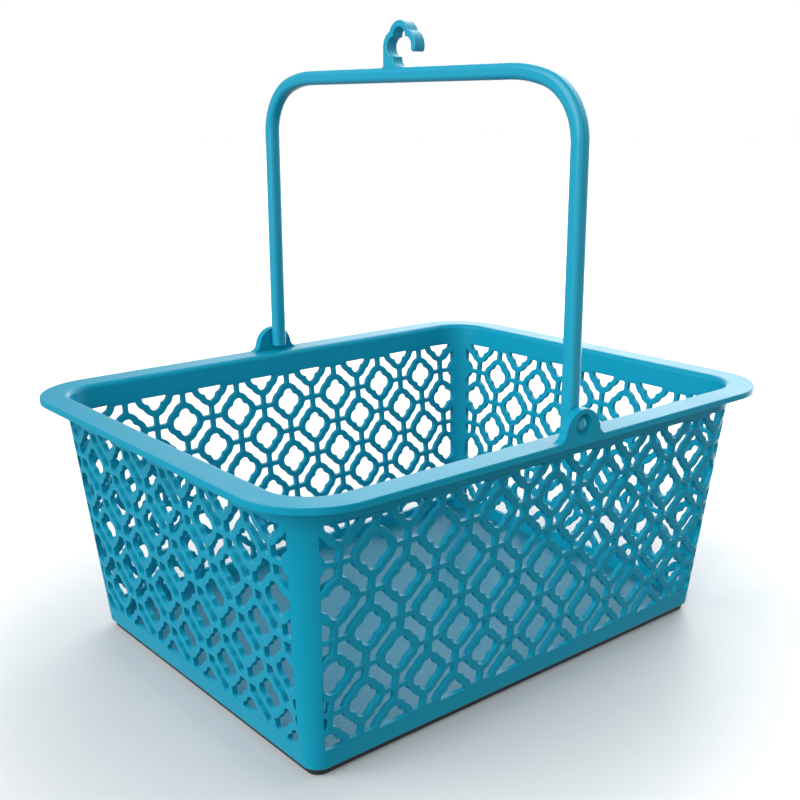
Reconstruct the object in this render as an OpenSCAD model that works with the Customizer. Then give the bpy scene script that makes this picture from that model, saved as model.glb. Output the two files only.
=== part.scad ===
// Shower caddy: a tapered rectangular basket with quatrefoil lattice walls and a
// swinging carry handle that ends in a scalloped hanging hook.
// Millimetres. +Z is up, the origin is on the ground under the middle of the basket,
// X runs along the long walls and Y across them.

/* [Basket] */
// Length of the basket's base along X
base_len = 231.6; // [190:0.2:280]
// Width of the basket's base along Y
base_wid = 173.2; // [140:0.2:220]
// Height of the rim's top face above the ground
rim_top = 116.5; // [112:0.5:130]
// How far each wall leans out for every millimetre of height
draft = 0.12; // [0.06:0.01:0.16]
// Corner radius at the bottom of the walls
base_r = 7.1; // [6:0.1:12]
// Thickness of the walls
wall_t = 2.5; // [2:0.1:3]
// Thickness of the floor
floor_t = 2.6; // [2:0.1:4]
// Rounding of the outer bottom edge
bottom_round = 1.2; // [0.6:0.1:2]

/* [Rim] */
// How far the flange stands out beyond the walls
flange_w = 10.9; // [8:0.1:14]
// Thickness of the flange
flange_t = 2.8; // [2.2:0.1:3.5]

/* [Foot] */
// Height of the foot ring under the floor
foot_h = 3; // [2:0.1:5]
// How far the foot ring is set in from the bottom edge
foot_inset = 2; // [1.5:0.5:8]
// Width of the foot ring
foot_w = 3; // [2:0.1:5]

/* [Lattice] */
// Spacing of the rings along a row, and of every second row
cell = 31.25; // [30:0.05:32]
// Distance of a ring's lobe centres from its own centre
lobe_off = 3.5; // [3:0.1:4]
// Radius of the opening's lobes
lobe_r = 3.5; // [3:0.1:4]
// Width of a ring's band
band_w = 3; // [2.4:0.1:3.6]
// Width of the straight links between rings
link_w = 2.3; // [1.8:0.1:3]
// Height of the solid band under the lattice
sill_h = 8.5; // [6:0.5:9]
// Half width of a long wall's lattice at its bottom edge
long_half = 110.9; // [104:0.1:112]
// Half width of a short wall's lattice at its bottom edge
short_half = 78.6; // [72:0.1:80]
// Outward lean of the lattice's end lines on the long walls
lean_long = 0.075; // [0.06:0.005:0.1]
// Outward lean of the lattice's end lines on the short walls
lean_short = 0.1; // [0.06:0.005:0.11]

/* [Ears] */
// Height of an ear above the rim
ear_h = 12.1; // [11.5:0.1:14]
// Thickness of an ear
ear_t = 4.1; // [3.4:0.1:5]
// Radius of an ear's rounded top
ear_r = 10.2; // [9:0.1:10.8]
// Half width of an ear at the rim, its flares included
ear_half = 14.4; // [13.6:0.1:15]
// Radius of the flares where an ear meets the rim
flare_r = 4.5; // [4:0.1:5]
// Height of the pivot pins above the rim
pivot_h = 5.5; // [5:0.1:7]

/* [Pins] */
// Diameter of a pin's shank
pin_d = 3; // [2.6:0.1:3.4]
// Running clearance round the shank in the handle
pin_gap = 0.05; // [0.03:0.01:0.1]
// Diameter of a pin's domed head
head_d = 6; // [5.4:0.1:6.6]
// Height of a pin's dome
dome_h = 1.6; // [1:0.1:1.8]
// Diameter of the dished recess round a pin's head, at the ear's face
recess_d = 8.8; // [8:0.1:9.4]
// Diameter of the recess's floor
dish_d = 6.8; // [6.6:0.1:7.4]
// Depth of the recess
recess_depth = 1.6; // [1.2:0.1:2]
// How far a pin's shank reaches into the handle
pin_reach = 4.4; // [3:0.1:4.8]

/* [Handle] */
// Width and depth of the handle's bar
bar_s = 6.6; // [5.6:0.1:6.8]
// Corner radius of the bar's section
bar_r = 2.5; // [1.5:0.1:2.5]
// Gap between a leg and its ear
side_gap = 0.3; // [0.2:0.05:0.6]
// Height of the crossbar's middle line above the ground
bar_z = 256.1; // [220:0.1:280]
// Radius of the handle's corners beside the legs, along the bar's middle line
corner_r = 25; // [15:5:40]
// Radius of the gentler shoulders between the crossbar and the corners
shoulder_r = 65; // [50:5:100]
// Height of the legs' flat lower ends below the pivot
leg_drop = 2.7; // [2.4:0.1:3]

/* [Hook] */
// Thickness of the hook's plate
hook_t = 5.8; // [4:0.1:6]
// Distance of the hook's lobe centres from its own centre
hook_off = 4; // [3.5:0.1:4.5]
// Radius of the lobes of the hook's opening
hook_lobe = 4; // [3.5:0.1:4.5]
// Width of the hook's band
hook_band = 2.9; // [2.4:0.1:3.4]
// Place of the hook's centre along the crossbar
hook_y = -1.1; // [-3:0.1:3]
// Height of the hook's centre above the crossbar's middle line
hook_rise = 11.7; // [11:0.1:13]
// How far the hook's tip ends below its centre
tip_drop = 1; // [0.6:0.1:3]

/* [Hidden] */
$fn = 64;
// Middle of each corner's curve, shared by walls, rim, floor and foot
ax = base_len / 2 - base_r;
ay = base_wid / 2 - base_r;
// Levels of the lattice and of the rim's underside
win_z0 = foot_h + sill_h;
win_z1 = win_z0 + 3 * cell;
rim_under = rim_top - flange_t;
flange_r = wall_r(rim_under) + flange_w;
rows = 6;
// Outer faces of the flange on the two long sides
side_y = ay + flange_r;
ear_in = side_y - ear_t;
leg_y = ear_in - side_gap - bar_s / 2;
pivot_z = rim_top + pivot_h;
head_y = side_y - recess_depth;
dome_ball = (pow(head_d / 2, 2) + pow(dome_h, 2)) / (2 * dome_h);
// The shoulder turns through the small angle of a 7-24-25 triangle, whose sine and
// cosine are short decimals, so every arc of the handle ends on a round number
shoulder_sin = 0.28;
shoulder_cos = 0.96;
shoulder_ang = asin(shoulder_sin);
corner_y = leg_y - corner_r;
corner_z = bar_z - shoulder_r + (shoulder_r - corner_r) * shoulder_cos;
shoulder_y = corner_y - (shoulder_r - corner_r) * shoulder_sin;
leg_z0 = pivot_z - leg_drop;
hook_z = bar_z + hook_rise;
BASKET = "#2aa5c0";
BAIL = "#2ba8c4";
PIN = "#2796b2";
FOOT = "#2c3a3e";

// Radius of the walls' outer face about a corner's middle, at height z
function wall_r(z) = base_r + draft * (z - foot_h);

// Section of the leaning wall between two heights
module wall_section(z0, z1, t = wall_t) {
    polygon([
        [wall_r(z0) - t, z0], [wall_r(z0), z0],
        [wall_r(z1), z1], [wall_r(z1) - t, z1]
    ]);
}

// A section swept round one corner, from the X side towards the Y side
module corner_sweep(a0 = 0, a1 = 90) {
    rotate([0, 0, a0])
        rotate_extrude(angle = a1 - a0)
            children();
}

// A section run along a straight wall that faces +X, of half length h
module side_run(h) {
    translate([0, h, 0])
        rotate([90, 0, 0])
            linear_extrude(2 * h)
                children();
}

// A section taken all the way round the basket
module ring_sweep() {
    for (sx = [0, 1], sy = [0, 1])
        mirror([sx, 0, 0])
            mirror([0, sy, 0])
                translate([ax, ay, 0])
                    corner_sweep()
                        children();
    for (s = [0, 180])
        rotate([0, 0, s]) {
            translate([ax, 0, 0])
                side_run(ay)
                    children();
            rotate([0, 0, 90])
                translate([ay, 0, 0])
                    side_run(ax)
                        children();
        }
}

// Four overlapping circles about a centre
module quatrefoil(off, r) {
    for (a = [0, 90, 180, 270])
        rotate(a)
            translate([off, 0])
                circle(r);
    rotate(45)
        square(2 * off, center = true);
}

// The outline between a wall's two leaning end lines, at the lattice's own height
module window_outline(half, lean) {
    rise = win_z1 - win_z0;
    polygon([
        [-half, win_z0], [half, win_z0],
        [half + lean * rise, win_z1], [-half - lean * rise, win_z1]
    ]);
}

// One ring with its four half links, centred on its own point
module lattice_unit() {
    difference() {
        union() {
            quatrefoil(lobe_off, lobe_r + band_w);
            square([cell, link_w], center = true);
            square([link_w, cell], center = true);
        }
        quatrefoil(lobe_off, lobe_r);
    }
}

// Staggered rows of linked rings that fill a wall's window
module lattice_2d(half, lean) {
    reach = ceil((half + lean * (win_z1 - win_z0)) / cell);
    intersection() {
        window_outline(half, lean);
        for (m = [0 : rows], k = [-reach : reach])
            translate([(k + (m % 2 == 0 ? 0.5 : 0)) * cell, win_z0 + m * cell / 2])
                lattice_unit();
    }
}

// The leaning wall on the +X side with the two corners beside it
module wall_block(h) {
    side_run(h)
        wall_section(win_z0, win_z1);
    for (s = [0, 1])
        mirror([0, s, 0])
            translate([0, h, 0])
                corner_sweep(0, 75)
                    wall_section(win_z0, win_z1);
}

// A drawing in (Y, Z) pushed through the wall on the +X side
module through_x(depth) {
    translate([-depth / 2, 0, 0])
        rotate([90, 0, 90])
            linear_extrude(depth)
                children();
}

// One lattice wall, built facing +X at a distance a from the middle
module lattice_wall(a, h, half, lean) {
    translate([a, 0, 0])
        intersection() {
            wall_block(h);
            through_x(4 * (base_r + draft * rim_top))
                lattice_2d(half, lean);
        }
}

module long_lattice() {
    rotate([0, 0, 90])
        lattice_wall(ay, ax, long_half, lean_long);
}

module short_lattice() {
    lattice_wall(ax, ay, short_half, lean_short);
}

// The solid upright between two lattice walls, in the +X +Y corner
module corner_post() {
    deep = 4 * (base_r + draft * rim_top);
    difference() {
        translate([ax, ay, 0])
            corner_sweep()
                wall_section(win_z0, win_z1);
        translate([ax, 0, 0])
            through_x(deep)
                window_outline(short_half, lean_short);
        rotate([0, 0, 90])
            translate([ay, 0, 0])
                through_x(deep)
                    window_outline(long_half, lean_long);
    }
}

// The flange with its rolled inner edge
module flange_section() {
    roll = wall_r(rim_under) - wall_t + flange_t;
    translate([roll, rim_under])
        square([flange_r - roll, flange_t]);
    intersection() {
        translate([roll, rim_under])
            circle(flange_t);
        translate([roll - flange_t, rim_under])
            square(flange_t);
    }
}

// The sill under the lattice, with its outer bottom edge rounded
module sill_section() {
    low = foot_h + bottom_round;
    union() {
        wall_section(low, win_z0);
        translate([wall_r(foot_h) - wall_t, foot_h])
            square([wall_t - bottom_round, bottom_round]);
        intersection() {
            translate([wall_r(foot_h) - bottom_round, low])
                circle(bottom_round);
            translate([wall_r(foot_h) - bottom_round, foot_h])
                square(bottom_round);
        }
    }
}

module rim_flange() {
    color(BASKET)
        ring_sweep()
            flange_section();
}

module upper_band() {
    color(BASKET)
        ring_sweep()
            wall_section(win_z1, rim_under);
}

module lower_band() {
    color(BASKET)
        ring_sweep()
            sill_section();
}

module floor_panel() {
    edge = wall_r(foot_h) - wall_t;
    color(BASKET)
        translate([0, 0, foot_h]) {
            for (sx = [-1, 1], sy = [-1, 1])
                translate([sx * ax, sy * ay, 0])
                    cylinder(h = floor_t, r = edge);
            translate([-ax - edge, -ay, 0])
                cube([2 * (ax + edge), 2 * ay, floor_t]);
            translate([-ax, -ay - edge, 0])
                cube([2 * ax, 2 * (ay + edge), floor_t]);
        }
}

module foot_ring() {
    color(FOOT)
        ring_sweep()
            translate([base_r - foot_inset - foot_w, 0])
                square([foot_w, foot_h]);
}

// Outline of an ear in (X, Z), standing on the rim
module ear_outline() {
    difference() {
        union() {
            translate([0, ear_h - ear_r])
                circle(ear_r);
            difference() {
                translate([-ear_half, 0])
                    square([2 * ear_half, flare_r * 0.8]);
                for (s = [-1, 1])
                    translate([s * ear_half, flare_r])
                        circle(flare_r);
            }
        }
        translate([-2 * ear_half, -ear_h])
            square([4 * ear_half, ear_h]);
    }
}

// The ear on the -Y side
module ear() {
    color(BASKET)
        difference() {
            translate([0, -ear_in, rim_top])
                rotate([90, 0, 0])
                    linear_extrude(ear_t)
                        ear_outline();
            translate([0, -head_y, pivot_z])
                rotate([90, 0, 0])
                    cylinder(h = 2 * recess_depth, d1 = dish_d, d2 = 2 * recess_d - dish_d);
            translate([0, -ear_in + 1, pivot_z])
                rotate([90, 0, 0])
                    cylinder(h = ear_t + 2, d = pin_d);
        }
}

// The pin on the -Y side: a shank with a domed head in the ear's recess
module pivot_pin() {
    tip_y = leg_y + bar_s / 2 - pin_reach;
    color(PIN) {
        translate([0, -tip_y, pivot_z])
            rotate([90, 0, 0])
                cylinder(h = head_y - tip_y, d = pin_d);
        intersection() {
            translate([0, -head_y - dome_h + dome_ball, pivot_z])
                sphere(dome_ball);
            translate([0, -head_y, pivot_z])
                rotate([90, 0, 0])
                    cylinder(h = 2 * dome_h, d = head_d + 1);
        }
    }
}

// The bar's section, a square with round corners
module bar_section() {
    square([bar_s, bar_s - 2 * bar_r], center = true);
    square([bar_s - 2 * bar_r, bar_s], center = true);
    for (sx = [-1, 1], sy = [-1, 1])
        translate([sx, sy] * (bar_s / 2 - bar_r))
            circle(bar_r, $fn = 48);
}

// A quarter turn of the bar about the X axis, from +Z to +Y, on the near side of the
// shoulder's end plane or beyond it
module bar_turn(r, beyond) {
    rotate([0, -90, 0])
        if (beyond)
            intersection() {
                quarter_bar(r);
                past_shoulder(r);
            }
        else
            difference() {
                quarter_bar(r);
                past_shoulder(r);
            }
}

module quarter_bar(r) {
    rotate_extrude(angle = 90)
        translate([r, 0])
            bar_section();
}

// The quarter of space that starts at the shoulder's end plane
module past_shoulder(r) {
    rotate([0, 0, shoulder_ang])
        translate([0, 0, -bar_s])
            cube([2 * r, 2 * r, 2 * bar_s]);
}

// The straight middle of the crossbar
module crossbar() {
    translate([0, shoulder_y, bar_z])
        rotate([90, 0, 0])
            linear_extrude(2 * shoulder_y)
                bar_section();
}

module carry_handle() {
    bore_l = pin_reach + side_gap;
    color(BAIL)
        difference() {
            union() {
                crossbar();
                for (s = [0, 1])
                    mirror([0, s, 0]) {
                        translate([0, shoulder_y, bar_z - shoulder_r])
                            bar_turn(shoulder_r, false);
                        translate([0, corner_y, corner_z])
                            bar_turn(corner_r, true);
                        translate([0, leg_y, leg_z0])
                            linear_extrude(corner_z - leg_z0)
                                bar_section();
                    }
            }
            for (s = [0, 1])
                mirror([0, s, 0])
                    translate([0, ear_in, pivot_z])
                        rotate([90, 0, 0])
                            cylinder(h = bore_l + side_gap, d = pin_d + 2 * pin_gap);
        }
}

// Outline of the hook in (Y, Z): an open quatrefoil band on a stem
module hook_outline() {
    lip_r = hook_lobe + hook_band / 2;
    translate([hook_y, hook_z]) {
        difference() {
            union() {
                quatrefoil(hook_off, hook_lobe + hook_band);
                translate([0, bar_r - hook_rise])
                    square([hook_off + hook_lobe + hook_band, hook_rise - bar_r]);
            }
            quatrefoil(hook_off, hook_lobe);
            translate([0, bar_s / 2 + hook_lobe - hook_rise])
                circle(hook_lobe);
            translate([-4 * hook_off, -hook_rise])
                square([4 * hook_off, hook_rise - tip_drop]);
        }
        translate([-hook_off - sqrt(pow(lip_r, 2) - pow(tip_drop, 2)), -tip_drop])
            circle(hook_band / 2);
    }
}

module hanging_hook() {
    color(BAIL)
        difference() {
            through_x(hook_t)
                hook_outline();
            crossbar();
        }
}

rim_flange();
upper_band();
lower_band();
floor_panel();
foot_ring();
color(BASKET) mirror([0, 1, 0]) long_lattice();  // front_lattice
color(BASKET) long_lattice();  // back_lattice
color(BASKET) mirror([1, 0, 0]) short_lattice();  // left_lattice
color(BASKET) short_lattice();  // right_lattice
color(BASKET) corner_post();  // corner_post_1
color(BASKET) mirror([1, 0, 0]) corner_post();  // corner_post_2
color(BASKET) rotate([0, 0, 180]) corner_post();  // corner_post_3
color(BASKET) mirror([0, 1, 0]) corner_post();  // corner_post_4
ear();  // front_ear
mirror([0, 1, 0]) ear();  // back_ear
pivot_pin();  // front_pivot_pin
mirror([0, 1, 0]) pivot_pin();  // back_pivot_pin
carry_handle();
hanging_hook();
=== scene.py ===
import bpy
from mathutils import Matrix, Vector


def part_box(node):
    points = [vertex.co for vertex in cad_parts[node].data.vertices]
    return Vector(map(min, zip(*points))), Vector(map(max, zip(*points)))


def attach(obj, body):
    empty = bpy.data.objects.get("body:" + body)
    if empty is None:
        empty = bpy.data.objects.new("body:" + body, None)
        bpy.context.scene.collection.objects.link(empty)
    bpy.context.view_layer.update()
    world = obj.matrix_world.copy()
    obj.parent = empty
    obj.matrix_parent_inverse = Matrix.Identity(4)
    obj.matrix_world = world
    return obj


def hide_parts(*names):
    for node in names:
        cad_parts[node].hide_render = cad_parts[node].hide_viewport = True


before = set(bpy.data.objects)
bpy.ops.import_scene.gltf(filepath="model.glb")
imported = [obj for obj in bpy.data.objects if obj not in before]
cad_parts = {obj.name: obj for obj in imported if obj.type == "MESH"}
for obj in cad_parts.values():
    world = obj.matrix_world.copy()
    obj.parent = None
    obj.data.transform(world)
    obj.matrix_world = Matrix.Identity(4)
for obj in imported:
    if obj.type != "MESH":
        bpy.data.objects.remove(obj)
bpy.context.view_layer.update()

import math

import bpy
from mathutils import Matrix, Vector
from mathutils.geometry import delaunay_2d_cdt

MM = 0.001

# ---------------------------------------------------------------- sizes, in metres
rim_lo, rim_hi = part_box("rim_flange")
band_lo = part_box("upper_band")[0]
sill_lo, sill_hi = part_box("lower_band")
foot_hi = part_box("foot_ring")[1]
floor_lo, floor_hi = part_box("floor_panel")
ear_lo, ear_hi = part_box("front_ear")
pin_lo, pin_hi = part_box("front_pivot_pin")
bail_lo, bail_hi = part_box("carry_handle")
hook_lo, hook_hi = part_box("hanging_hook")

WALL = 2.5 * MM
DRAFT = 0.12                        # how far the walls lean out for each metre of height
RIM_TOP = rim_hi[2]
RIM_UNDER = rim_lo[2]
BASE_Z = sill_lo[2]
WIN_Z0 = sill_hi[2]                 # the lattice windows' bottom and top
WIN_Z1 = band_lo[2]
CELL = (WIN_Z1 - WIN_Z0) / 3        # the lattice's pitch, three cells to a window's height
FLANGE = 10.9 * MM                  # how far the rim stands out past the walls
BASE_R = 7.1 * MM                   # corner radii, at the walls' foot and round the rim
TOP_R = BASE_R + DRAFT * (RIM_UNDER - BASE_Z) + FLANGE
AX = rim_hi[0] - TOP_R              # the corners' middles
AY = rim_hi[1] - TOP_R
LONG_HALF = 110.9 * MM              # the windows' half widths at the bottom, and how far
SHORT_HALF = 78.6 * MM              # their sides lean out for each metre of height
LONG_LEAN = 0.075
SHORT_LEAN = 0.1

# Roundings of the basket's edges
EDGE = 0.28 * MM                    # round every lattice opening
RIM_TIP_R = 0.45 * MM               # the rim's outer edge above and below, and its inner one
RIM_LIP_R = 0.3 * MM
RIM_MOUTH_R = 2.75 * MM
SILL_R = 1.15 * MM
FOOT_R = 0.4 * MM
FOOT_WIDE = 3 * MM

# Meshing
SEAM = 1.1 * MM                     # how far a lattice wall reaches past its window
SIDE_STEPS = 24                     # rows up a lattice wall's side and up an upright
POST_COLS = 14
BEND_STEP = 1.3 * MM                # spacing of points where a lattice wall turns the corner
BEND_REACH = 0.6 * SEAM             # how far past the window they go
NEAR = 0.02 * MM
CDT_NEAR = 1e-7
TINY = 1e-6
LATTICE_MITRE = 0.55                # mitred steps are at most 1 / this as long as plain ones
PLATE_MITRE = 0.6
NO_AREA = 1e-16                     # twice the area of the smallest face kept, in square metres
MIXED = 0.5                         # a face's corner normals cancel if their sum is shorter


def wall_r(z):
    """Radius of the walls' outer face about a corner's middle."""
    return BASE_R + DRAFT * (z - BASE_Z)


def cos(degrees):
    return math.cos(math.radians(degrees))


def sin(degrees):
    return math.sin(math.radians(degrees))


# ---------------------------------------------------------------- mesh building
class Build:
    """Vertices with their own normals, and faces."""

    def __init__(self):
        self.verts = []
        self.normals = []
        self.faces = []
        self.laid = False

    def add(self, co, normal):
        self.verts.append(tuple(co))
        self.normals.append(tuple(Vector(normal).normalized()))
        return len(self.verts) - 1

    def strip(self, row_a, row_b, closed=False):
        """Quads between two rows of the same length."""
        n = len(row_a)
        for i in range(n if closed else n - 1):
            j = (i + 1) % n
            self.faces.append((row_a[i], row_a[j], row_b[j], row_b[i]))

    def grid(self, rows, closed=False):
        for a, b in zip(rows[:-1], rows[1:]):
            self.strip(a, b, closed)

    def facing(self, face):
        """The face, turned if need be to look the way its corners' normals do. A face
        without area goes, and one whose normals cancel out stays as it was laid, as do
        all of them where laid is set."""
        co = [Vector(self.verts[i]) for i in face]
        way = sum((Vector(self.normals[i]) for i in face), Vector())
        flat = sum(((co[i] - co[0]).cross(co[i + 1] - co[0]) for i in range(1, len(co) - 1)), Vector())
        if flat.length < NO_AREA:
            return None
        if self.laid or way.length < MIXED or flat.dot(way) >= 0:
            return tuple(face)
        return tuple(reversed(face))

    def done(self, name, material, slot, body, *nodes):
        mesh = bpy.data.meshes.new(name)
        mesh.from_pydata(self.verts, [], [f for f in map(self.facing, self.faces) if f])
        mesh.validate()
        for p in mesh.polygons:
            p.use_smooth = True
        mesh.normals_split_custom_set_from_vertices(self.normals)
        piece = bpy.data.objects.new(name, mesh)
        bpy.context.scene.collection.objects.link(piece)
        mesh.materials.append(material)
        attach(piece, body)
        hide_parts(*nodes)


def arc(cx, cy, r, a0, a1, n):
    """Points and outward directions along an arc, angles in degrees."""
    out = []
    for i in range(n + 1):
        a = a0 + (a1 - a0) * i / n
        out.append(((cx + r * cos(a), cy + r * sin(a)), (cos(a), sin(a))))
    return out


def round_profile(corners, segments=4):
    """A closed (rho, z) section from (rho, z, radius) corners, each rounded by its radius,
    as runs of (point, normal). Radius 0 leaves a corner square. Counter-clockwise corners
    give outward normals."""
    out = []
    n = len(corners)
    for i in range(n):
        p = Vector(corners[i][:2])
        a = (Vector(corners[i - 1][:2]) - p).normalized()
        b = (Vector(corners[(i + 1) % n][:2]) - p).normalized()
        r = corners[i][2]
        na = Vector((-a.y, a.x))
        nb = Vector((b.y, -b.x))
        if r <= 0:
            out.append((p, na))
            out.append((p, nb))
            continue
        half = a.angle(b) / 2
        reach = r / math.tan(half)
        centre = p + (a + b).normalized() * (r / math.sin(half))
        start, end = p + a * reach, p + b * reach
        s0, s1 = (start - centre).normalized(), (end - centre).normalized()
        turn = s0.angle(s1)
        for k in range(segments + 1):
            t = k / segments
            d = (s0 * math.sin((1 - t) * turn) + s1 * math.sin(t * turn)) / math.sin(turn)
            out.append((centre + d * r, d))
    return out


def ring_path(per_corner=20):
    """Corner middles and directions all the way round the basket, counter-clockwise."""
    out = []
    for k, (sx, sy) in enumerate(((1, 1), (-1, 1), (-1, -1), (1, -1))):
        for i in range(per_corner + 1):
            a = 90 * (k + i / per_corner)
            out.append((Vector((sx * AX, sy * AY)), Vector((cos(a), sin(a)))))
    return out


def ring_sweep(build, section):
    """A closed section taken round the basket. section holds ((rho, z), (nr, nz))."""
    path = ring_path()
    rows = []
    for (rho, z), (nr, nz) in section:
        row = []
        for mid, d in path:
            xy = mid + d * rho
            row.append(build.add((xy.x, xy.y, z), (d.x * nr, d.y * nr, nz)))
        rows.append(row)
    build.grid(rows + rows[:1], closed=True)


# ---------------------------------------------------------------- lattice drawing, in its wall's (u, z)
LOBE_OFF = 3.5 * MM                 # an opening's four lobes, from its middle to theirs
LOBE_R = 3.5 * MM
BAND = 3.0 * MM                     # the rings' and the links' widths
LINK = 2.3 * MM
RING_STEP = 0.62 * MM               # even steps along the two outlines
SLOT_STEP = 0.66 * MM


def resample(points, step):
    """Even points along a closed outline."""
    out = []
    pts = points + [points[0]]
    lengths = [(b - a).length for a, b in zip(pts[:-1], pts[1:])]
    total = sum(lengths)
    count = int(round(total / step))
    run, i = 0.0, 0
    for k in range(count):
        goal = total * k / count
        while run + lengths[i] < goal:
            run += lengths[i]
            i += 1
        out.append(pts[i].lerp(pts[i + 1], (goal - run) / lengths[i]))
    return out


def soften(points):
    """Rounds an even closed outline's corners slightly."""
    n = len(points)
    return [(points[i - 1] + points[i] * 2 + points[(i + 1) % n]) / 4 for i in range(n)]


def turned_left(points):
    """The outline run counter-clockwise."""
    area = sum(a.x * b.y - b.x * a.y for a, b in zip(points, points[1:] + points[:1]))
    return points if area > 0 else points[::-1]


def ring_opening():
    """The quatrefoil opening in a ring's middle."""
    pts = []
    for a in (0, 90, 180, 270):
        lobe = arc(LOBE_OFF * cos(a), LOBE_OFF * sin(a), LOBE_R, a - 90, a + 90, 14)
        pts += [Vector(p) for p, _ in lobe[:-1]]
    return soften(resample(pts, RING_STEP))


def slot_opening():
    """The slot between a ring at the origin and its neighbour up and to the right."""
    big = LOBE_R + BAND
    half = LINK / 2
    notch = LOBE_OFF / 2 + math.sqrt(big * big - LOBE_OFF * LOBE_OFF / 2) / math.sqrt(2)
    first = math.degrees(math.asin(half / big))
    cusp = math.degrees(math.atan2(notch, notch - LOBE_OFF))
    side = [Vector(p) for p, _ in arc(LOBE_OFF, 0, big, first, cusp, 12)]
    mirrored = [Vector((p.y, p.x)) for p in reversed(side[:-1])]
    lower = side + mirrored + [Vector((half, CELL / 2 - half))]
    upper = [Vector((CELL / 2, CELL / 2)) - p for p in lower]
    return soften(resample(lower + upper, SLOT_STEP))


def wall_openings(half, lean):
    """Every opening that touches a wall's window. The rows are half a cell apart, and
    every other one is half a cell to the side."""
    ring, slot = ring_opening(), slot_opening()
    slots = [slot, [Vector((-p.x, p.y)) for p in slot]]
    wide = half + lean * (WIN_Z1 - WIN_Z0)
    reach = int(math.ceil(wide / CELL)) + 1
    last = 6
    out = []
    for m in range(last + 1):
        for k in range(-reach, reach + 1):
            c = Vector(((k + (0.5 if m % 2 == 0 else 0)) * CELL, WIN_Z0 + m * CELL / 2))
            for shape in [ring] + (slots if m < last else []):
                loop = turned_left([p + c for p in shape])
                if min(abs(p.x) for p in loop) < wide:
                    out.append(loop)
    return out


# ---------------------------------------------------------------- lattice walls
def side_line(half, lean, z):
    """Half a window's width at a height."""
    return half + lean * (z - WIN_Z0)


def open_edges(faces):
    """The edges that only one face has."""
    edges = dict.fromkeys((a, b) for f in faces for a, b in zip(f, f[1:] + f[:1]))
    return [(a, b) for a, b in edges if (b, a) not in edges]


def mitres(verts, edges):
    """For each corner along some edges, the way into the solid and how much longer a step
    is there than one square to an edge."""
    inward = {}
    for a, b in edges:
        d = (verts[b] - verts[a]).normalized()
        for i in (a, b):
            inward.setdefault(i, []).append(Vector((-d.y, d.x)))
    out = {}
    for i, ways in inward.items():
        s = sum(ways, Vector((0, 0)))
        s = s.normalized() if s.length > TINY else ways[0]
        out[i] = (s, 1 / max(LATTICE_MITRE, s.dot(ways[0])))
    return out


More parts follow.
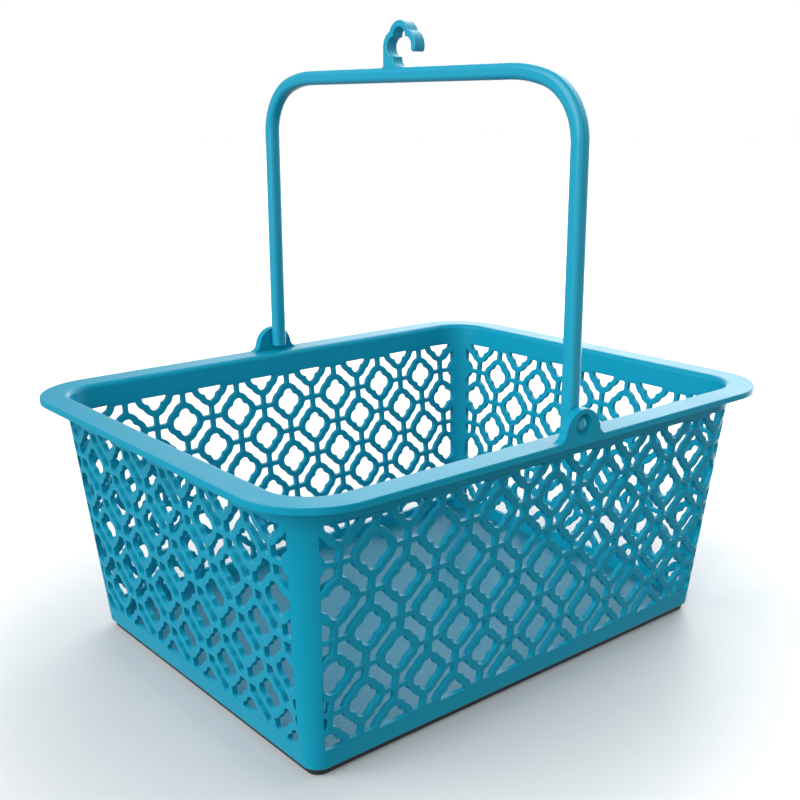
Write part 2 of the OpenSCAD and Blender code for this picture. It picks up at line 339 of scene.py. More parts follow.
class LatticeWall:
    """One lattice wall. It is drawn flat as (u, z), laid over the basket's outer face as
    the +X side, and turned to its own side."""

    def __init__(self, build, mid_x, mid_y, half, lean, turn):
        self.build = build
        self.mid_x = mid_x
        self.mid_y = mid_y
        self.half = half
        self.lean = lean
        self.turn = Matrix.Rotation(turn, 3, "Z")
        self.z0 = WIN_Z0 - SEAM
        self.z1 = WIN_Z1 + SEAM
        self.verts, self.solid = self.cut()
        edges = open_edges(self.solid)
        self.border = [e for e in edges if self.on_border(e)]
        self.holes = [e for e in edges if not self.on_border(e)]
        self.mitres = mitres(self.verts, self.holes)

    def side(self, z):
        return side_line(self.half, self.lean, z)

    def outlines(self):
        """The piece's border, its window and every opening."""
        heights = [self.z0 + (self.z1 - self.z0) * i / SIDE_STEPS for i in range(SIDE_STEPS + 1)]
        right = [(self.side(z) + SEAM, z) for z in heights]
        left = [(-u, z) for u, z in reversed(right)]
        low, high = self.side(WIN_Z0), self.side(WIN_Z1)
        window = [(-low, WIN_Z0), (low, WIN_Z0), (high, WIN_Z1), (-high, WIN_Z1)]
        return [right + left, window] + wall_openings(self.half, self.lean)

    def bend_points(self):
        """Extra points where the wall turns the corner, so that the skins follow it."""
        out = []
        u = self.mid_y
        while u < self.side(self.z1) + SEAM:
            z = self.z0 + BEND_STEP
            while z < self.z1 - BEND_STEP / 2:
                if u < self.side(z) + BEND_REACH:
                    out += [Vector((u, z)), Vector((-u, z))]
                z += BEND_STEP
            u += BEND_STEP
        return out

    def cut(self):
        """Points and faces of the drawing's solid parts. A face is open where it lies both
        in the window and in an opening."""
        points, loops = [], []
        for outline in self.outlines():
            loops.append(list(range(len(points), len(points) + len(outline))))
            points += [Vector(p) for p in outline]
        points += self.bend_points()
        verts, _, faces, _, _, owners = delaunay_2d_cdt(points, [], loops, 0, CDT_NEAR)
        solid = [f for f, own in zip(faces, owners) if 0 in own and not (1 in own and max(own) > 1)]
        return verts, solid

    def on_border(self, edge):
        """Whether an edge lies on the piece's border."""
        for p in (self.verts[i] for i in edge):
            beside = abs(abs(p.x) - self.side(p.y) - SEAM) < NEAR
            if not (beside or p.y < self.z0 + NEAR or p.y > self.z1 - NEAR):
                return False
        return True

    def surface(self, u, z, depth):
        """Point and outward normal at a depth through the wall, 0 outside and 1 inside."""
        r = wall_r(z) - WALL * depth
        over = abs(u) - self.mid_y
        if over <= 0:
            return Vector((self.mid_x + r, u, z)), Vector((1, 0, -DRAFT))
        x = math.sqrt(r * r - over * over)
        return (Vector((self.mid_x + x, u, z)),
                Vector((x / r, math.copysign(over / r, u), -DRAFT)))

    def put(self, p, depth, normal):
        co, _ = self.surface(p.x, p.y, depth)
        return self.build.add(self.turn @ co, self.turn @ normal)

    def skin(self, face_depth, sign):
        """One face of the wall, with its openings' edges rounded off. Gives the rows of
        corners from the face into the openings."""
        flat = {}
        for i in sorted({i for f in self.solid for i in f}):
            p = self.verts[i].copy()
            if i in self.mitres:
                s, k = self.mitres[i]
                p += s * EDGE * k
            flat[i] = self.put(p, face_depth, self.surface(p.x, p.y, face_depth)[1] * sign)
        for f in self.solid:
            corners = [flat[i] for i in f]
            self.build.faces.append(tuple(corners if sign > 0 else reversed(corners)))
        rows = [flat]
        for t in (45, 90):
            sunk = EDGE / WALL * (1 - cos(t))
            depth = sunk if sign > 0 else 1 - sunk
            row = {}
            for i, (s, k) in self.mitres.items():
                p = self.verts[i] + s * EDGE * (1 - sin(t)) * k
                out = self.surface(p.x, p.y, face_depth)[1] * sign
                row[i] = self.put(p, depth, out * cos(t) + Vector((0, -s.x, -s.y)) * sin(t))
            rows.append(row)
        return rows

    def lay(self):
        """Both skins, joined through every opening and along the border."""
        self.build.laid = True
        outer = self.skin(0, 1)
        inner = self.skin(1, -1)
        chain = outer + inner[::-1]
        for a, b in self.holes:
            for lo, hi in zip(chain[:-1], chain[1:]):
                self.build.faces.append((lo[b], lo[a], hi[a], hi[b]))
        for a, b in self.border:
            self.build.faces.append((outer[0][b], outer[0][a], inner[0][a], inner[0][b]))


# ---------------------------------------------------------------- materials
def plastic(name, base, deep, rough=0.3, specular=0.1):
    """Satin-gloss moulded plastic: faint colour drift, fine moulded grain, soft flow marks."""
    m = bpy.data.materials.new(name)
    m.use_nodes = True
    t = m.node_tree
    t.nodes.clear()
    link = t.links.new
    coord = t.nodes.new("ShaderNodeTexCoord")

    def noise(scale, detail):
        n = t.nodes.new("ShaderNodeTexNoise")
        n.inputs["Scale"].default_value = scale
        n.inputs["Detail"].default_value = detail
        link(coord.outputs["Object"], n.inputs["Vector"])
        return n.outputs["Fac"]

    def bump(height, strength, distance):
        n = t.nodes.new("ShaderNodeBump")
        n.inputs["Strength"].default_value = strength
        n.inputs["Distance"].default_value = distance
        link(height, n.inputs["Height"])
        return n

    drift = noise(14, 4)
    grain = noise(900, 3)
    flow = noise(38, 2)
    colour = t.nodes.new("ShaderNodeMix")
    colour.data_type = "RGBA"
    colour.inputs[6].default_value = (*deep, 1)
    colour.inputs[7].default_value = (*base, 1)
    gloss = t.nodes.new("ShaderNodeMapRange")
    gloss.inputs["To Min"].default_value = rough - 0.05
    gloss.inputs["To Max"].default_value = rough + 0.07
    wave = bump(flow, 0.05, 2 * MM)
    fine = bump(grain, 0.06, 0.3 * MM)
    shader = t.nodes.new("ShaderNodeBsdfPrincipled")
    shader.inputs["IOR"].default_value = 1.48
    shader.inputs["Specular IOR Level"].default_value = specular
    out = t.nodes.new("ShaderNodeOutputMaterial")
    link(drift, colour.inputs[0])
    link(flow, gloss.inputs["Value"])
    link(wave.outputs["Normal"], fine.inputs["Normal"])
    link(colour.outputs[2], shader.inputs["Base Color"])
    link(gloss.outputs["Result"], shader.inputs["Roughness"])
    link(fine.outputs["Normal"], shader.inputs["Normal"])
    link(shader.outputs["BSDF"], out.inputs["Surface"])
    return m


TEAL = plastic("basket_teal", (0.0035, 0.262, 0.395), (0.003, 0.245, 0.372))
# The inside floor's teal is darker than the walls': painted shade inside the basket
FLOOR_SHADED_TEAL = plastic("basket_floor_teal_painted_shade", (0.01, 0.19, 0.29), (0.008, 0.175, 0.27), 0.42, 0.4)
BAIL = plastic("bail_teal", (0.006, 0.29, 0.43), (0.005, 0.272, 0.405), 0.25, 0.4)
PIN = plastic("pin_teal", (0.006, 0.29, 0.43), (0.005, 0.272, 0.405), 0.25, 0.4)
# Dark foot ring material: painted shade, standing in for the contact shadow under the basket's bottom
# edge
FOOT_PAINTED_SHADE = plastic("foot_ring_painted_shade", (0.018, 0.026, 0.03), (0.012, 0.018, 0.02), 0.6, 0.3)

# ---------------------------------------------------------------- basket
def ring_piece(name, material, slot, node, corners, segments):
    """A piece that runs round the basket, from its section's (rho, z, rounding) corners."""
    b = Build()
    ring_sweep(b, round_profile(corners, segments))
    b.done(name, material, slot, "basket", node)


def band_section(z0, z1, rounding):
    """The wall's section between two heights, with its lower outer edge rounded."""
    return [(wall_r(z0) - WALL, z0, 0), (wall_r(z0), z0, rounding),
            (wall_r(z1), z1, 0), (wall_r(z1) - WALL, z1, 0)]


mouth_r = wall_r(RIM_UNDER) - WALL
foot_out = foot_hi[0] - AX
foot_in = foot_out - FOOT_WIDE
ring_piece("rim_flange_moulding", TEAL, "basket_plastic", "rim_flange", [
    (mouth_r, RIM_UNDER, 0), (TOP_R, RIM_UNDER, RIM_LIP_R),
    (TOP_R, RIM_TOP, RIM_TIP_R), (mouth_r, RIM_TOP, RIM_MOUTH_R)], 8)
ring_piece("upper_band_wall", TEAL, "basket_plastic", "upper_band",
           band_section(WIN_Z1 + SEAM, RIM_UNDER, 0), 4)
ring_piece("sill_band_wall", TEAL, "basket_plastic", "lower_band",
           band_section(BASE_Z, WIN_Z0 - SEAM, SILL_R), 6)
# The foot ring's dark colour is painted shade under the basket's edge
ring_piece("foot_ring_moulding", FOOT_PAINTED_SHADE, "foot_rubber", "foot_ring", [
    (foot_in, 0, FOOT_R), (foot_out, 0, FOOT_R), (foot_out, foot_hi[2], 0), (foot_in, foot_hi[2], 0)], 4)


def floor_mesh(build):
    """A flat plate with rounded corners that meets the walls."""
    path = ring_path()
    edge = floor_hi[0] - AX
    for z, side in ((floor_lo[2], -1), (floor_hi[2], 1)):
        mid = build.add((0, 0, z), (0, 0, side))
        row = [build.add((*(m + d * edge), z), (0, 0, side)) for m, d in path]
        for a, c in zip(row, row[1:] + row[:1]):
            build.faces.append((mid, a, c))
    lo = [build.add((*(m + d * edge), floor_lo[2]), (d.x, d.y, 0)) for m, d in path]
    hi = [build.add((*(m + d * edge), floor_hi[2]), (d.x, d.y, 0)) for m, d in path]
    build.strip(lo, hi, closed=True)


b = Build()
floor_mesh(b)
b.done("floor_plate", FLOOR_SHADED_TEAL, "basket_plastic", "basket", "floor_panel")

WALLS = {
    "back_lattice": (AY, AX, LONG_HALF, LONG_LEAN, math.radians(90)),
    "front_lattice": (AY, AX, LONG_HALF, LONG_LEAN, math.radians(-90)),
    "right_lattice": (AX, AY, SHORT_HALF, SHORT_LEAN, 0.0),
    "left_lattice": (AX, AY, SHORT_HALF, SHORT_LEAN, math.radians(180)),
}
for node, placing in WALLS.items():
    b = Build()
    LatticeWall(b, *placing).lay()
    b.done(node + "_wall", TEAL, "basket_plastic", "basket", node)


def post_skin(build, sx, sy, depth, sign):
    """Rows of corners on one face of an upright, 0 deep outside and 1 inside."""
    out = []
    z0, z1 = WIN_Z0 - SEAM, WIN_Z1 + SEAM
    for i in range(SIDE_STEPS + 1):
        z = z0 + (z1 - z0) * i / SIDE_STEPS
        r = wall_r(z) - WALL * depth
        a0 = math.asin((side_line(SHORT_HALF, SHORT_LEAN, z) + SEAM - AY) / r)
        a1 = math.acos((side_line(LONG_HALF, LONG_LEAN, z) + SEAM - AX) / r)
        row = []
        for j in range(POST_COLS + 1):
            a = a0 + (a1 - a0) * j / POST_COLS
            d = Vector((math.cos(a), math.sin(a)))
            row.append(build.add((sx * (AX + d.x * r), sy * (AY + d.y * r), z),
                                 (sx * sign * d.x, sy * sign * d.y, -sign * DRAFT)))
        out.append(row)
    return out


def post_mesh(build, sx, sy):
    """The solid upright between two lattice walls, at the corner (sx, sy)."""
    outer = post_skin(build, sx, sy, 0, 1)
    inner = post_skin(build, sx, sy, 1, -1)
    build.grid(outer)
    build.grid([row[::-1] for row in inner])
    for i in range(SIDE_STEPS):
        build.faces.append((outer[i][0], outer[i + 1][0], inner[i + 1][0], inner[i][0]))
        build.faces.append((outer[i + 1][-1], outer[i][-1], inner[i][-1], inner[i + 1][-1]))
    build.strip(inner[0], outer[0])
    build.strip(outer[-1], inner[-1])
    # The side faces' normals cancel, so at a mirrored corner they are turned here
    if sx * sy < 0:
        build.faces = [f[::-1] for f in build.faces]


for k, (sx, sy) in enumerate(((1, 1), (-1, 1), (-1, -1), (1, -1))):
    b = Build()
    post_mesh(b, sx, sy)
    b.done("corner_upright_%d" % (k + 1), TEAL, "basket_plastic", "basket", "corner_post_%d" % (k + 1))


# ---------------------------------------------------------------- flat plates with rounded edges
class Plate:
    """A flat plate from one closed outline of (u, v) points, counter-clockwise seen from
    outside. square(p) says which points keep a square edge, and place(u, v, w) gives a
    position, with w outward from w_in to w_out."""

    def __init__(self, build, outline, square, w_out, w_in, rounding, place):
        self.build = build
        self.place = place
        self.w_out = w_out
        self.w_in = w_in
        self.rounding = rounding
        middle = Vector(place(0, 0, 0))
        self.axes = [Vector(place(*way)) - middle for way in ((1, 0, 0), (0, 1, 0), (0, 0, 1))]
        self.corners = self.mitred([Vector(p) for p in outline], square)
        self.rows = self.edge_rows()

    def mitred(self, pts, square):
        """Each point with its way out and how much longer a step is there than one square
        to the edge, or 0 where the edge stays square."""
        out = []
        for i, p in enumerate(pts):
            a = (p - pts[i - 1]).normalized()
            c = (pts[(i + 1) % len(pts)] - p).normalized()
            s = Vector((a.y + c.y, -a.x - c.x)).normalized()
            out.append((p, s, 0 if square(p) else 1 / max(PLATE_MITRE, s.dot(Vector((a.y, -a.x))))))
        return out

    def add(self, u, v, w, normal):
        u_way, v_way, w_way = self.axes
        turned = u_way * normal[0] + v_way * normal[1] + w_way * normal[2]
        return self.build.add(self.place(u, v, w), turned)

    def edge_rows(self):
        """Rows of corners round the plate, from its outer face over the edge to its inner."""
        rows = []
        for w, side, angles in ((self.w_out, 1, (0, 30, 60, 90)), (self.w_in, -1, (90, 60, 30, 0))):
            for t in angles:
                row = []
                for p, s, k in self.corners:
                    q = p - s * self.rounding * (1 - sin(t)) * k
                    row.append(self.add(q.x, q.y, w - side * self.rounding * (1 - cos(t)),
                                        (s.x * sin(t), s.y * sin(t), side * cos(t))))
                rows.append(row)
        self.build.grid(rows[::-1], closed=True)
        return rows

    def face(self, row, side, ring=(), hole=()):
        """The flat face inside a row, less a hole whose points have the corners in ring."""
        border = [p - s * self.rounding * k for p, s, k in self.corners]
        names = list(row) + list(ring)
        loops = [list(range(len(row)))]
        if hole:
            loops.append(list(range(len(row), len(names))))
        _, _, faces, origin, _, owners = delaunay_2d_cdt(border + list(hole), [], loops, 0, CDT_NEAR)
        for f, own in zip(faces, owners):
            if 0 in own and 1 not in own:
                corners = tuple(names[origin[i][0]] for i in f)
                self.build.faces.append(corners if side > 0 else corners[::-1])


# Ears and pins share one axis
EAR_OUT = abs(ear_lo[1])
EAR_IN = abs(ear_hi[1])
EAR_H = ear_hi[2] - RIM_TOP
EAR_R = 10.2 * MM
EAR_HALF = ear_hi[0]
EAR_EDGE = 0.45 * MM
FLARE = 4.5 * MM                    # radius of the hollows at an ear's foot
FLARE_TOP = 0.7 * FLARE             # how high they reach up the ear
SINK = 0.45 * MM                    # how deep an ear's base is sunk into the rim
PIVOT_H = 5.5 * MM
PIVOT_Z = RIM_TOP + PIVOT_H
RECESS_R = 4.4 * MM
RECESS_LIP = 0.35 * MM
RECESS_DEPTH = 1.6 * MM
DISH_R = 3.4 * MM
SHANK_R = 1.5 * MM
SHANK_TIP = 0.3 * MM
HEAD_R = pin_hi[0]
DOME = 1.6 * MM
DOME_STEPS = 8
EAR_FACETS = 40
PIN_FACETS = 36


def pivot_ring(build, side, count, r, w, nr, nw):
    """A circle of corners about the pivots' axis, w out from the basket's middle, whose
    normals point nr away from the axis and nw outward."""
    out = []
    for i in range(count):
        c, s = cos(360 * i / count), sin(360 * i / count)
        out.append(build.add((-side * r * c, side * w, PIVOT_Z + r * s),
                             (-side * nr * c, side * nw, nr * s)))
    return out


def ear_outline():
    """(x, z) outline of an ear, its base sunk a little into the rim's rounded edge."""
    top = EAR_H - EAR_R
    low = -math.degrees(math.asin((top - FLARE_TOP) / EAR_R))
    turn = math.degrees(math.acos((EAR_HALF - EAR_R * cos(low)) / FLARE))
    flare = [p for p, _ in arc(EAR_HALF, FLARE, FLARE, -90, -180 + turn, 8)]
    cap = [p for p, _ in arc(0, top, EAR_R, low, 180 - low, 34)]
    right = [(EAR_HALF, -SINK)] + flare
    left = [(-x, z) for x, z in reversed(right)]
    return right + cap[1:-1] + left


def recess_rows(build, side):
    """Circles from the recess's mouth, over its rounded lip, to its floor."""
    slope = math.degrees(math.atan2(RECESS_R - DISH_R, RECESS_DEPTH))
    rows = [pivot_ring(build, side, EAR_FACETS, RECESS_R + RECESS_LIP, EAR_OUT, 0, 1)]
    for t in (45, 90):
        rows.append(pivot_ring(build, side, EAR_FACETS, RECESS_R + RECESS_LIP * (1 - sin(t)),
                               EAR_OUT - RECESS_LIP * (1 - cos(t)), -sin(t), cos(t)))
    rows.append(pivot_ring(build, side, EAR_FACETS, DISH_R, EAR_OUT - RECESS_DEPTH,
                           -cos(slope), sin(slope)))
    return rows


def ear_mesh(build, side):
    """An ear with its bore and the recess round the pin's head."""
    deep = EAR_OUT - RECESS_DEPTH
    plate = Plate(build, ear_outline(), lambda p: p.y < NEAR, EAR_OUT, EAR_IN, EAR_EDGE,
                  lambda u, v, w: (-u * side, w * side, RIM_TOP + v))
    recess = recess_rows(build, side)
    floor = [pivot_ring(build, side, EAR_FACETS, r, deep, 0, 1) for r in (DISH_R, SHANK_R)]
    bore = [pivot_ring(build, side, EAR_FACETS, SHANK_R, w, -1, 0) for w in (deep, EAR_IN)]
    back = pivot_ring(build, side, EAR_FACETS, SHANK_R, EAR_IN, 0, -1)
    for rows in (recess, floor, bore):
        build.grid(rows, closed=True)
    for row, way, ring, r in ((plate.rows[0], 1, recess[0], RECESS_R + RECESS_LIP),
                              (plate.rows[-1], -1, back, SHANK_R)):
        hole = [Vector(p) for p, _ in arc(0, PIVOT_H, r, 0, 360, EAR_FACETS)[:-1]]
        plate.face(row, way, ring, hole)


def pin_mesh(build, side):
    """A pin: a low domed head in the ear's recess, and a shank into the handle's leg."""
    head = abs(pin_lo[1]) - DOME
    tip = abs(pin_hi[1])
    ball = (HEAD_R ** 2 + DOME ** 2) / (2 * DOME)
    reach = math.degrees(math.asin(HEAD_R / ball))
    dome = []
    for k in range(DOME_STEPS):
        a = reach * (1 - k / DOME_STEPS)
        dome.append((ball * sin(a), head + ball * (cos(a) - cos(reach)), sin(a), cos(a)))
    under = [(HEAD_R, head, 0, -1), (SHANK_R, head, 0, -1)]
    shank = [(SHANK_R, head, 1, 0), (SHANK_R, tip + SHANK_TIP, 1, 0), (SHANK_R - SHANK_TIP, tip, 0, -1)]
    runs = [[pivot_ring(build, side, PIN_FACETS, *ring) for ring in run] for run in (dome, under, shank)]
    for rows in runs:
        build.grid(rows, closed=True)
    crown = build.add((0, side * (head + DOME), PIVOT_Z), (0, side, 0))
    end = build.add((0, side * tip, PIVOT_Z), (0, -side, 0))
    for middle, ring in ((crown, runs[0][-1]), (end, runs[-1][-1])):
        for a, c in zip(ring, ring[1:] + ring[:1]):
            build.faces.append((middle, a, c))


SIDES = (("front", -1), ("back", 1))
for name, side in SIDES:
    b = Build()
    ear_mesh(b, side)
    b.done(name + "_pivot_ear", TEAL, "basket_plastic", "basket", name + "_ear")

for name, side in SIDES:
    b = Build()
    pin_mesh(b, side)
    b.done(name + "_pin", PIN, "pin_plastic", "basket", name + "_pivot_pin")

# ---------------------------------------------------------------- handle
BAR = bail_hi[0] - bail_lo[0]
BAR_R = 2.5 * MM                    # rounding of the bar's four edges
CORNER_R = 25 * MM                  # the bend above each leg, and the wider one next to it
SHOULDER_R = 65 * MM
SHOULDER_SIN, SHOULDER_COS = 0.28, 0.96     # of the wider bend's angle
LEG_END = 0.5 * MM                  # rounding of the legs' ends, and its normals' steepest tilt
LEG_TILT = 68.755
BAR_STEPS = 24
LEG_Y = bail_hi[1] - BAR / 2
BAR_Z = bail_hi[2] - BAR / 2
LEG_Z0 = bail_lo[2]
CORNER_Y = LEG_Y - CORNER_R
CORNER_Z = BAR_Z - SHOULDER_R + (SHOULDER_R - CORNER_R) * SHOULDER_COS
SHOULDER_Y = CORNER_Y - (SHOULDER_R - CORNER_R) * SHOULDER_SIN


def bail_path():
    """(y, z) points and outward directions from one leg's end to the other's."""
    turn = math.degrees(math.asin(SHOULDER_SIN))
    half = [((SHOULDER_Y * i / BAR_STEPS, BAR_Z), (0.0, 1.0)) for i in range(BAR_STEPS + 1)]
    half += arc(SHOULDER_Y, BAR_Z - SHOULDER_R, SHOULDER_R, 90, 90 - turn, 8)[1:]
    half += arc(CORNER_Y, CORNER_Z, CORNER_R, 90 - turn, 0, 24)[1:]
    for i in range(1, BAR_STEPS + 1):
        half.append(((LEG_Y, CORNER_Z + (LEG_Z0 - CORNER_Z) * i / BAR_STEPS), (1.0, 0.0)))
    left = [((-p[0], p[1]), (-d[0], d[1])) for p, d in reversed(half[1:])]
    return left + half


def bail_row(build, section, p, d, inset=0, down=0):
    """The bar's section at one place of its path, drawn in by inset, normals tipped down."""
    k = 1 - inset / (BAR / 2)
    out = []
    for (across, off), (nx, nn) in section:
        co = (across * k, p[0] + d[0] * off * k, p[1] + d[1] * off * k)
        out.append(build.add(co, (nx, d[0] * nn, d[1] * nn - down)))
    return out


def leg_end(build, section, p, d):
    """Rows over a leg's rounded end, from its flat bottom up."""
    out = []
    for t in (90, 60, 30, 0):
        q = (p[0], p[1] + LEG_END * (1 - sin(t)))
        down = math.tan(math.radians(min(t, LEG_TILT)))
        out.append(bail_row(build, section, q, d, LEG_END * (1 - cos(t)), down))
    return out


def bail_mesh(build):
    """The handle's bar, with flat bottoms to its legs."""
    half = BAR / 2
    section = round_profile([(-half, -half, BAR_R), (half, -half, BAR_R),
                             (half, half, BAR_R), (-half, half, BAR_R)], 6)
    path = bail_path()
    rows = leg_end(build, section, *path[0])
    rows += [bail_row(build, section, p, d) for p, d in path[1:-1]]
    rows += leg_end(build, section, *path[-1])[::-1]
    build.grid(rows, closed=True)
    for row in (rows[0], rows[-1]):
        build.faces.append(tuple(build.add(build.verts[i], (0, 0, -1)) for i in row))


b = Build()
bail_mesh(b)
b.done("swing_handle", BAIL, "handle_plastic", "handle", "carry_handle")

# ---------------------------------------------------------------- hook
HOOK_OFF = 4 * MM                   # its three lobes, from the hook's middle to theirs
HOOK_LOBE = 4 * MM
HOOK_BAND = 2.9 * MM
HOOK_EDGE = 0.5 * MM
HOOK_T = hook_hi[0] - hook_lo[0]
HOOK_Y = hook_hi[1] - HOOK_OFF - HOOK_LOBE - HOOK_BAND
HOOK_Z = hook_hi[2] - HOOK_OFF - HOOK_LOBE - HOOK_BAND
BAR_TOP = BAR_Z + BAR / 2 - HOOK_Z  # the crossbar's top, from the hook's middle
TIP_DROP = 1.0 * MM
HOOK_FOOT = 1.0 * MM
HOOK_HEEL = 0.6 * MM
HOOK_ROOT = BAR_TOP - 0.75 * BAR_R  # the stem's end, inside the crossbar
HOOK_SUNK = 0.2 * MM                # points this far under the bar's top keep a square edge
CLOSEST = 0.12 * MM


def hook_outline():
    """(y, z) outline about the hook's middle, counter-clockwise seen from +X."""
    big = HOOK_LOBE + HOOK_BAND
    notch = math.sqrt(big ** 2 - HOOK_OFF ** 2 / 2) / math.sqrt(2)
    cusp = math.degrees(math.atan2(notch + HOOK_OFF / 2, notch - HOOK_OFF / 2))
    lip_r = HOOK_LOBE + HOOK_BAND / 2
    tip = math.degrees(math.asin(TIP_DROP / lip_r))
    stem_y = HOOK_OFF + big
    # (centre y, centre z, radius, first angle, last angle, steps), from the stem's foot round
    runs = [
        (stem_y + HOOK_FOOT, BAR_TOP + HOOK_FOOT, HOOK_FOOT, -90, -180, 6),
        (HOOK_OFF, 0, big, 0, cusp, 9),
        (0, HOOK_OFF, big, 90 - cusp, 90 + cusp, 18),
        (-HOOK_OFF, 0, big, 180 - cusp, 180 + tip, 10),
        (-HOOK_OFF - lip_r * cos(tip), -TIP_DROP, HOOK_BAND / 2, 180 + tip, 360 + tip, 10),
        (-HOOK_OFF, 0, HOOK_LOBE, 180 + tip, 90, 8),
        (0, HOOK_OFF, HOOK_LOBE, 180, 0, 14),
        (HOOK_OFF, 0, HOOK_LOBE, 90, -90, 14),
        (0, BAR_TOP + HOOK_LOBE, HOOK_LOBE, 0, -90, 8),
    ]
    pts = [(stem_y + HOOK_FOOT, HOOK_ROOT)]
    for run in runs:
        pts += [p for p, _ in arc(*run)]
    return pts + [(-HOOK_HEEL, BAR_TOP - HOOK_HEEL / 10), (-HOOK_HEEL, HOOK_ROOT)]


def hook_mesh(build):
    """The hook, from its outline without points that nearly coincide."""
    build.laid = True
    outline = []
    for p in hook_outline():
        if not outline or math.dist(p, outline[-1]) > CLOSEST:
            outline.append(p)
    plate = Plate(build, outline, lambda p: p.y < BAR_TOP - HOOK_SUNK, HOOK_T / 2, -HOOK_T / 2,
                  HOOK_EDGE, lambda u, v, w: (w, HOOK_Y + u, HOOK_Z + v))
    plate.face(plate.rows[0], 1)
    plate.face(plate.rows[-1], -1)


b = Build()
hook_mesh(b)
b.done("quatrefoil_hook", BAIL, "handle_plastic", "handle", "hanging_hook")

# ---------------------------------------------------------------- stage, light and camera
# Floor colours: greyer near the part as painted shadow, plain pale further out
NEAR_FLOOR_PAINTED_SHADOW = (0.58, 0.605, 0.615, 1)
FAR_FLOOR = (0.97, 0.975, 0.98, 1)
FLOOR_SHADOW_FADE = (0.13, 0.30)          # distances where the floor's painted shadow starts and stops fading out
FLOOR_GAP = 0.2 * MM


def floor_material():
    """A pale sweep with a painted shadow: a little greyer around the part."""
    m = bpy.data.materials.new("pale_floor_painted_shadow")
    m.use_nodes = True
    t = m.node_tree
    shader = t.nodes["Principled BSDF"]
    shader.inputs["Roughness"].default_value = 0.5
    shader.inputs["Specular IOR Level"].default_value = 0.3
    coord = t.nodes.new("ShaderNodeTexCoord")
    reach = t.nodes.new("ShaderNodeVectorMath")
    reach.operation = "LENGTH"
    ramp = t.nodes.new("ShaderNodeMapRange")
    ramp.interpolation_type = "SMOOTHSTEP"
    ramp.inputs["From Min"].default_value, ramp.inputs["From Max"].default_value = FLOOR_SHADOW_FADE
    shadow_tint = t.nodes.new("ShaderNodeMix")
    shadow_tint.data_type = "RGBA"
    shadow_tint.inputs[6].default_value = NEAR_FLOOR_PAINTED_SHADOW
    shadow_tint.inputs[7].default_value = FAR_FLOOR
    t.links.new(coord.outputs["Object"], reach.inputs[0])
    t.links.new(reach.outputs["Value"], ramp.inputs["Value"])
    t.links.new(ramp.outputs["Result"], shadow_tint.inputs[0])
    t.links.new(shadow_tint.outputs[2], shader.inputs["Base Color"])
    return m


bpy.ops.mesh.primitive_plane_add(size=12, location=(0, 0, -FLOOR_GAP))
ground = bpy.context.object
ground.name = "studio_floor"
ground.data.materials.append(floor_material())
# The part gets no bounce light and no reflection from the floor
ground.visible_diffuse = False
ground.visible_glossy = False

AMBIENT = 0.42                      # how bright the room and the softbox are
SOFTBOX = 4.0
SOFTBOX_AT = (15, 14)               # azimuth and elevation
SOFTBOX_EDGE = (0.57, 0.94)         # cosines of the angles where the softbox starts and is full


def toward(azimuth, elevation):
    """A unit vector from its azimuth and elevation in degrees."""
    return Vector((cos(azimuth) * cos(elevation), sin(azimuth) * cos(elevation), sin(elevation)))


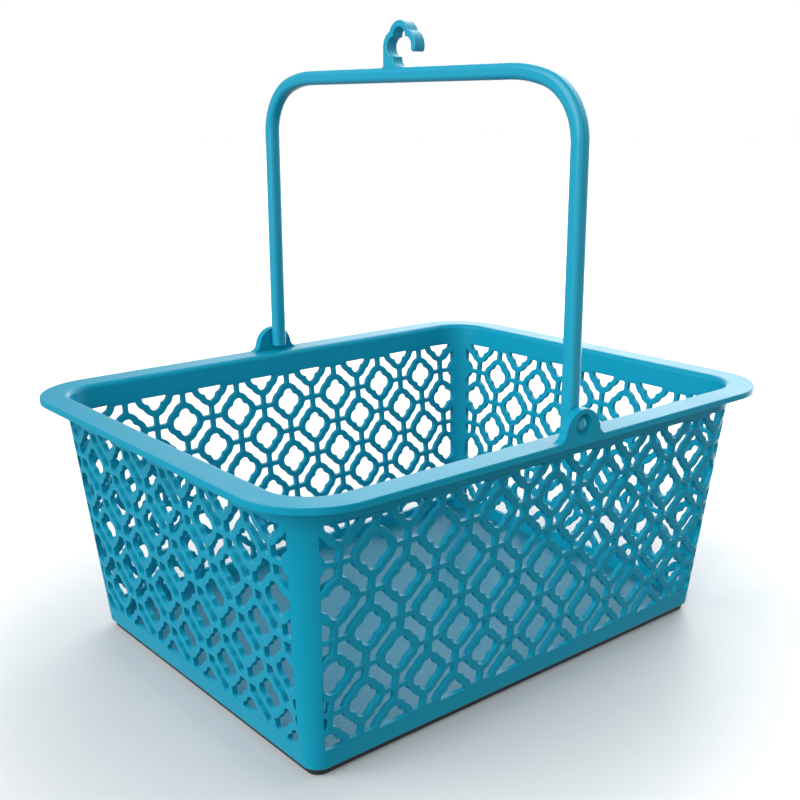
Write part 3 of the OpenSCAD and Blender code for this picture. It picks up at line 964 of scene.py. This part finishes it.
def studio_world(tree):
    """The camera sees plain white. The part is lit by a dim room with one wide low softbox
    beyond its +X end."""
    tree.nodes.clear()
    out = tree.nodes.new("ShaderNodeOutputWorld")
    seen = tree.nodes.new("ShaderNodeBackground")
    lit = tree.nodes.new("ShaderNodeBackground")
    mix = tree.nodes.new("ShaderNodeMixShader")
    path = tree.nodes.new("ShaderNodeLightPath")
    coord = tree.nodes.new("ShaderNodeTexCoord")
    unit = tree.nodes.new("ShaderNodeVectorMath")
    unit.operation = "NORMALIZE"
    dot = tree.nodes.new("ShaderNodeVectorMath")
    dot.operation = "DOT_PRODUCT"
    dot.inputs[1].default_value = toward(*SOFTBOX_AT)
    ramp = tree.nodes.new("ShaderNodeMapRange")
    ramp.interpolation_type = "SMOOTHSTEP"
    ramp.inputs["From Min"].default_value, ramp.inputs["From Max"].default_value = SOFTBOX_EDGE
    ramp.inputs["To Min"].default_value = AMBIENT
    ramp.inputs["To Max"].default_value = SOFTBOX
    seen.inputs["Color"].default_value = (1, 1, 1, 1)
    lit.inputs["Color"].default_value = (0.97, 0.99, 1, 1)
    link = tree.links.new
    link(coord.outputs["Generated"], unit.inputs[0])
    link(unit.outputs["Vector"], dot.inputs[0])
    link(dot.outputs["Value"], ramp.inputs["Value"])
    link(ramp.outputs["Result"], lit.inputs["Strength"])
    link(path.outputs["Is Camera Ray"], mix.inputs[0])
    link(lit.outputs["Background"], mix.inputs[1])
    link(seen.outputs["Background"], mix.inputs[2])
    link(mix.outputs["Shader"], out.inputs["Surface"])


world = bpy.data.worlds.new("soft_studio")
bpy.context.scene.world = world
world.use_nodes = True
studio_world(world.node_tree)


def soft_sun(name, azimuth, elevation, spread, irradiance):
    """Even light from one side, its softness given by how wide the source looks."""
    lamp = bpy.data.lights.new(name, "SUN")
    lamp.angle = math.radians(spread)
    lamp.energy = irradiance * math.pi
    o = bpy.data.objects.new(name, lamp)
    o.rotation_euler = toward(azimuth, elevation).to_track_quat("Z", "Y").to_euler()
    bpy.context.scene.collection.objects.link(o)


soft_sun("key_left", 178, 32, 70, 1.08)
soft_sun("fill_front", 235, 12, 80, 0.13)

# The camera stands at the photo's angle, its turns in degrees
CAMERA_AT = Vector((-0.3207, -0.38285, 0.2431))
YAW, PITCH, ROLL = 50.194, 14.952, -0.14897
ahead = toward(YAW, -PITCH)
level = toward(YAW - 90, 0)
rise = level.cross(ahead)
right = level * cos(ROLL) + rise * sin(ROLL)
up = rise * cos(ROLL) - level * sin(ROLL)
cam = bpy.data.cameras.new("photo_camera")
cam.sensor_width = 36
cam.lens = 49.5675
cam.clip_start = 0.01
camera = bpy.data.objects.new("photo_camera", cam)
pose = Matrix((right, up, -ahead)).transposed().to_4x4()
pose.translation = CAMERA_AT
camera.matrix_world = pose
bpy.context.scene.collection.objects.link(camera)
bpy.context.scene.camera = camera
bpy.context.scene.view_settings.view_transform = "Standard"
